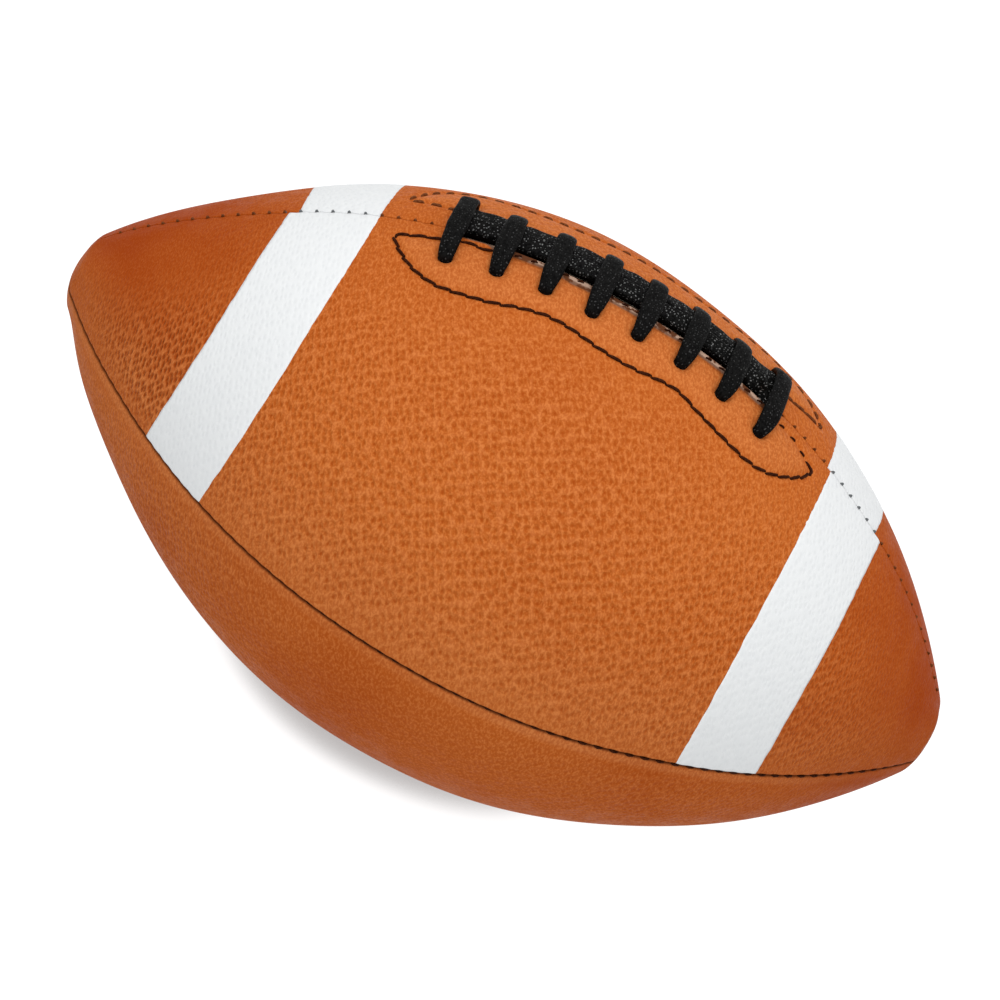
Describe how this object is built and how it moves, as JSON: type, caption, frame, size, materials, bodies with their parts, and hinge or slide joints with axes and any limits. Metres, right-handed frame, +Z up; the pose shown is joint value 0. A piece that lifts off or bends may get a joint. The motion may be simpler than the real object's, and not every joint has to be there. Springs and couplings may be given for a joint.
{
  "type": "american football",
  "caption": "Laced american football with sewn pebbled leather panels over linings and a bladder, white end stripes and a black lace.",
  "frame": {"origin": "on the resting surface, under the middle of the ball", "axes": "+X along the ball from tip to tip, +Z up with the lacing on top, +Y across the ball"},
  "size_m": [0.266, 0.1534, 0.159],
  "materials": {
    "leather": "pebbled tan leather with a soft sheen",
    "lining_cloth": "plain woven cotton",
    "facing_leather": "plain split leather",
    "bladder_rubber": "smooth butyl rubber",
    "valve_rubber": "moulded rubber",
    "stripe_paint": "satin white coating over pebbled leather",
    "thread": "waxed dark brown thread",
    "lace_cord": "black grained lace"
  },
  "bodies": {
    "root": {"panel_lace_front": "leather", "panel_lace_back": "leather", "panel_bottom_back": "leather", "panel_bottom_front": "leather", "lining_lace_front": "lining_cloth", "lining_lace_back": "lining_cloth", "lining_bottom_back": "lining_cloth", "lining_bottom_front": "lining_cloth", "lace_facing_front": "facing_leather", "lace_facing_back": "facing_leather", "bladder": "bladder_rubber", "valve_body": "valve_rubber", "valve_plug": "valve_rubber", "stripe_left_front": "stripe_paint", "stripe_right_front": "stripe_paint", "stripe_left_back": "stripe_paint", "stripe_right_back": "stripe_paint", "seam_thread_lace_left": "thread", "seam_thread_lace_right": "thread", "seam_thread_back": "thread", "seam_thread_bottom": "thread", "seam_thread_front": "thread", "facing_stitch_front": "thread", "facing_stitch_back": "thread", "lace": "lace_cord"}
  },
  "joints": []
}
